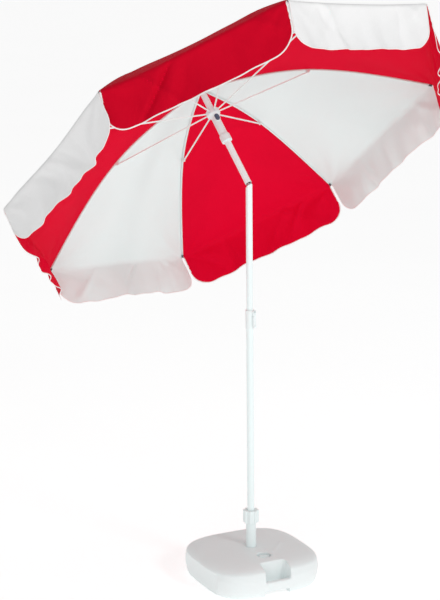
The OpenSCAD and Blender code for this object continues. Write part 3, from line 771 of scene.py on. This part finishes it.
def roundTool(name, centre, radius, low, high, top=None):
    t = np.linspace(0, 2 * math.pi, 64, endpoint=False)
    widths = np.array([radius, radius if top is None else top])
    x, y = centre[0] + widths[:, None] * np.cos(t), centre[1] + widths[:, None] * np.sin(t)
    rings = np.stack([x, y, np.array([low, high])[:, None] + 0 * t], -1)
    return makeMesh(name, rings, tubeFaces(2, 64))


def cut(target, tool, operation="DIFFERENCE"):
    step = target.modifiers.new(tool.name, "BOOLEAN")
    step.operation, step.object, step.solver = operation, tool, "EXACT"


def settle(piece, tools=()):  # the piece's modifiers become its mesh, and its tools go
    graph = bpy.context.evaluated_depsgraph_get()
    mesh = bpy.data.meshes.new_from_object(piece.evaluated_get(graph))
    piece.modifiers.clear()
    piece.data = mesh
    for tool in tools:
        bpy.data.objects.remove(tool)


def makeTank(s):
    tank = tankSkin(s)
    a, far = s["half"], 0.1
    w = s["gripWide"] / 2
    grip = roundedBox("grip", (-w, -a - far, -0.1), (w, -a + s["gripDeep"], 0.2), 0.012)
    barLow, barHigh = (-w - 0.02, -a - 0.001, s["barLow"]), (w + 0.02, -a + s["barThick"], s["barHigh"])
    bar = roundedBox("bar", barLow, barHigh, 0.008)
    scoops = []
    for side in (-1, 1):
        inner = (side * (a - s["scoopDeep"]), -s["scoopWide"] / 2, -0.1)
        outer = (side * (a + far), s["scoopWide"] / 2, s["scoopTop"])
        scoops.append(roundedBox(f"scoop{side}", *sorted([inner, outer]), 0.006))
    capLow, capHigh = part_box("filler_cap")
    capX, capY = (capLow[0] + capHigh[0]) / 2, (capLow[1] + capHigh[1]) / 2
    recess = roundTool("recess", (capX, capY), 0.028, s["high"] - 0.022, 0.2, 0.0295)
    well = roundTool("well", (0, 0), 0.0199, 0.008, 0.2)
    neck = roundTool("neck", (capX, capY), 0.0152, s["high"] - 0.032, 0.2)
    shell = tank.copy()
    shell.data = tank.data.copy()
    scene.collection.objects.link(shell)
    cut(bar, shell, "INTERSECT")
    cut(tank, grip)
    for tool in scoops:
        cut(tank, tool)
    cut(tank, recess)
    cut(tank, bar, "UNION")
    cut(tank, well)
    cut(tank, neck)
    settle(tank, [grip, *scoops, recess])
    for tool in (bar, shell, well, neck):
        bpy.data.objects.remove(tool)
    remesh = tank.modifiers.new("even", "REMESH")
    remesh.mode, remesh.voxel_size = "VOXEL", s["voxel"]
    smooth = tank.modifiers.new("soften", "SMOOTH")
    smooth.factor, smooth.iterations = 0.5, 7
    settle(tank)
    shapeTank(tank, s)
    tank.data.polygons.foreach_set("use_smooth", np.ones(len(tank.data.polygons), bool))
    tank.data.materials.clear()
    tank.data.materials.append(tankWhite)
    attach(tank, "base")
    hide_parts("base_tank")
    print("tank moulded", len(tank.data.polygons))


def bumpAlong(xy, start, end, wide):  # 1 on the line from start to end, fading as a bell to the side
    start, end = np.array(start), np.array(end)
    way = end - start
    t = np.clip(((xy - start) @ way) / (way @ way), 0, 1)
    near = np.linalg.norm(xy - start - t[:, None] * way, axis=-1)
    return np.exp(-((near / wide) ** 2)), t


def shapeTank(tank, s):
    # low mouldings on the top: a long hump beside the tube, a faint ridge and two small vent dimples
    co = np.zeros(len(tank.data.vertices) * 3, np.float32)
    tank.data.vertices.foreach_get("co", co)
    co = co.reshape(-1, 3).astype(float)
    high = np.clip((co[:, 2] - 0.100) / 0.02, 0, 1)
    hump, t = bumpAlong(co[:, :2], (-0.045, 0.100), (-0.016, 0.046), 0.020)
    ridge, _ = bumpAlong(co[:, :2], (0.119, -0.020), (0.049, -0.095), 0.010)
    lift = high * (0.006 * hump * (0.4 + 0.6 * t) + 0.0022 * ridge)
    for x, y, deep, wide in ((-0.012, 0.034, 0.006, 0.0045), (0.020, -0.076, 0.004, 0.004)):
        near = np.hypot(co[:, 0] - x, co[:, 1] - y)
        lift = lift - high * deep * np.exp(-((near / wide) ** 2))
    co[:, 2] = np.minimum(co[:, 2] + lift, s["high"] + 0.003)
    tank.data.vertices.foreach_set("co", co.astype(np.float32).ravel())
    tank.data.update()


makeTank(tankSet)

brackets = bracketPaint("rib_bracket")
dressFrame(frame["record"])


# ---- floor and light ----

studioSet = {
    "floor": 60,  # half width, metres
    "glow": 0.37,  # the floor's own light
    "sky": 0.60,
    "key": 88,  # watts
    "keyPlace": (1.9, -5.8, 3.7),
    "fill": 30,
    "fillPlace": (-3.4, -4.8, 0.7),
}


def makeFloor(s):
    edge = s["floor"]
    corner = np.array([(-edge, -edge, 0), (edge, -edge, 0), (edge, edge, 0), (-edge, edge, 0)], float)
    floor = makeMesh("floor", corner, [(0, 1, 2, 3)])
    paint = Paint("floor_paper", 0.9, Emission_Color=(1, 1, 1, 1), Emission_Strength=s["glow"])
    mottle = paint.noise(paint.place(), 0.8, 2.0)
    paint.feed("Base Color", paint.blend(mottle, shade(253, 253, 253), shade(250, 250, 250)))
    floor.data.materials.append(paint.material)


def areaLight(name, place, aim, size, power):
    data = bpy.data.lights.new(name, "AREA")
    data.shape, data.size, data.energy = "DISK", size, power
    lamp = bpy.data.objects.new(name, data)
    lamp.location = place
    lamp.rotation_euler = (Vector(aim) - Vector(place)).to_track_quat("-Z", "Y").to_euler()
    scene.collection.objects.link(lamp)


def makeLight(s):
    world = bpy.data.worlds.new("studio")
    world.use_nodes = True
    sky = world.node_tree.nodes["Background"]
    sky.inputs["Color"].default_value = (1, 1, 1, 1)
    sky.inputs["Strength"].default_value = s["sky"]
    scene.world = world
    areaLight("key", s["keyPlace"], (0, 0, 1.6), 1.3, s["key"])
    areaLight("fill", s["fillPlace"], (0, 0, 1.9), 1.8, s["fill"])
    scene.view_settings.view_transform = "Standard"


makeFloor(studioSet)
makeLight(studioSet)
print("studio lit")
